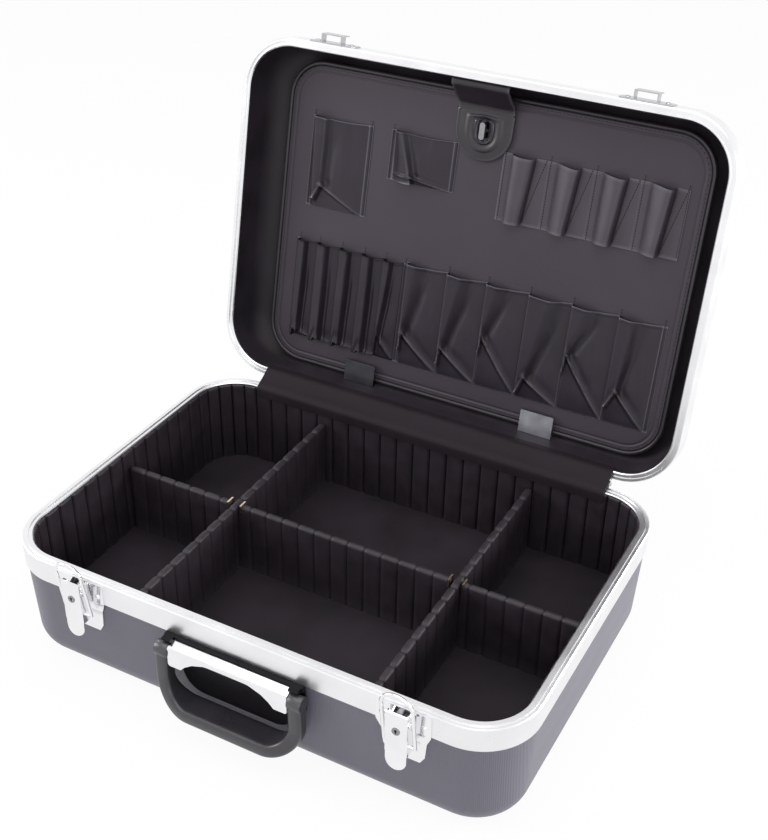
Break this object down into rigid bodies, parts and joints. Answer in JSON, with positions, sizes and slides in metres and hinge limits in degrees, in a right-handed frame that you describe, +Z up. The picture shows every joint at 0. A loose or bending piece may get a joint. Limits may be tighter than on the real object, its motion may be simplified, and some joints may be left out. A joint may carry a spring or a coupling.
{
  "type": "hard tool case",
  "caption": "Hard shell tool case with an aluminium rim, opened on its piano hinge, with a carry handle, keyed latches, loose dividers and a pocketed tool panel in the lid.",
  "frame": {"origin": "middle of the flat underside that the case stands on", "axes": "+X to the right along the hinge, seen from the front; +Y from the latches to the hinge; +Z up"},
  "size_m": [0.46, 0.4593, 0.4347],
  "materials": {
    "shell_plastic": "satin moulded ABS with a fine pressed line texture",
    "frame_aluminium": "bright satin anodised",
    "ribbed_liner": "matt black leatherette over board, heat pressed in ribs",
    "lining_cloth": "matt black flock backed vinyl",
    "hinge_steel": "plated",
    "leatherette": "fine grained black vinyl",
    "pocket_leatherette": "smooth black vinyl with a soft sheen",
    "plated_steel": "nickel plated pressed sheet and wire",
    "lock_metal": "die cast",
    "handle_plastic": "satin moulded",
    "staple_wire": "bright"
  },
  "bodies": {
    "base": {"base_shell": "shell_plastic", "base_frame": "frame_aluminium", "wall_liner": "ribbed_liner", "floor_pad": "ribbed_liner", "hinge_leaf_base": "hinge_steel", "hinge_pin": "hinge_steel", "hinge_rivets_base": "hinge_steel", "hinge_cover": "leatherette", "latch_plate_left": "plated_steel", "latch_plate_right": "plated_steel", "latch_pins": "plated_steel", "latch_rivets": "plated_steel", "handle_rail": "handle_plastic", "handle_bracket": "plated_steel", "handle_pins": "plated_steel"},
    "lid": {"lid_shell": "shell_plastic", "lid_frame": "frame_aluminium", "lid_lining": "lining_cloth", "hinge_leaf_lid": "hinge_steel", "hinge_rivets_lid": "hinge_steel", "strike_left": "plated_steel", "strike_right": "plated_steel", "strike_rivets": "plated_steel", "panel_clips": "plated_steel", "clip_rivets": "plated_steel", "strap_anchor": "leatherette", "strap_rivets": "plated_steel"},
    "latch_lever_left": {"lever_left": "plated_steel"},
    "latch_lever_right": {"lever_right": "plated_steel"},
    "latch_lock_left": {"lock_left": "lock_metal"},
    "latch_lock_right": {"lock_right": "lock_metal"},
    "latch_bail_left": {"bail_left": "plated_steel"},
    "latch_bail_right": {"bail_right": "plated_steel"},
    "handle": {"handle_bow": "handle_plastic"},
    "strap": {"strap_flap": "leatherette"},
    "panel": {"tool_panel": "leatherette", "panel_piping": "leatherette", "tall_pocket": "pocket_leatherette", "wide_pocket": "pocket_leatherette", "tool_loops": "pocket_leatherette", "narrow_pockets": "pocket_leatherette", "deep_pockets": "pocket_leatherette", "turn_plate": "plated_steel"},
    "button": {"turn_button": "plated_steel"},
    "divider_long": {"long_divider": "ribbed_liner", "divider_staples": "staple_wire"},
    "divider_left": {"cross_divider_left": "ribbed_liner"},
    "divider_right": {"cross_divider_right": "ribbed_liner"}
  },
  "joints": [
    {"name": "lid_hinge", "type": "hinge", "parent": "base", "child": "lid", "pos_m": [0, 0.165, 0.1093], "axis": [-1, 0, 0], "range_deg": [-102, 0], "deforming": ["hinge_cover"]},
    {"name": "lever_swing_left", "type": "hinge", "parent": "base", "child": "latch_lever_left", "pos_m": [-0.1445, -0.168, 0.1], "axis": [-1, 0, 0], "range_deg": [0, 45]},
    {"name": "lock_turn_left", "type": "hinge", "parent": "latch_lever_left", "child": "latch_lock_left", "pos_m": [-0.1445, -0.17, 0.0938], "axis": [0, -1, 0], "range_deg": [0, 90]},
    {"name": "bail_swing_left", "type": "hinge", "parent": "latch_lever_left", "child": "latch_bail_left", "pos_m": [-0.1445, -0.1655, 0.0765], "axis": [1, 0, 0], "range_deg": [-10, 90]},
    {"name": "lever_swing_right", "type": "hinge", "parent": "base", "child": "latch_lever_right", "pos_m": [0.1445, -0.168, 0.1], "axis": [-1, 0, 0], "range_deg": [0, 45]},
    {"name": "lock_turn_right", "type": "hinge", "parent": "latch_lever_right", "child": "latch_lock_right", "pos_m": [0.1445, -0.17, 0.0938], "axis": [0, -1, 0], "range_deg": [0, 90]},
    {"name": "bail_swing_right", "type": "hinge", "parent": "latch_lever_right", "child": "latch_bail_right", "pos_m": [0.1445, -0.1655, 0.0765], "axis": [1, 0, 0], "range_deg": [-10, 90]},
    {"name": "handle_swing", "type": "hinge", "parent": "base", "child": "handle", "pos_m": [0, -0.168, 0.077], "axis": [-1, 0, 0], "range_deg": [0, 95]},
    {"name": "strap_swing", "type": "hinge", "parent": "lid", "child": "strap", "pos_m": [0, 0.24057, 0.41528], "axis": [1, 0, 0], "range_deg": [0, 100], "deforming": ["strap_flap"]},
    {"name": "panel_tilt", "type": "hinge", "parent": "lid", "child": "panel", "pos_m": [0, 0.20298, 0.12781], "axis": [1, 0, 0], "range_deg": [0, 15], "deforming": ["strap_flap"]},
    {"name": "button_turn", "type": "hinge", "parent": "panel", "child": "button", "pos_m": [0, 0.25433, 0.36941], "axis": [0, -0.9781, 0.2079], "range_deg": [0, 90]},
    {"name": "long_divider_lift", "type": "slide", "parent": "base", "child": "divider_long", "axis": [0, 0, 1], "range_m": [0, 0.085]},
    {"name": "left_divider_lift", "type": "slide", "parent": "divider_long", "child": "divider_left", "axis": [0, 0, 1], "range_m": [0, 0.085]},
    {"name": "right_divider_lift", "type": "slide", "parent": "divider_long", "child": "divider_right", "axis": [0, 0, 1], "range_m": [0, 0.085]}
  ]
}
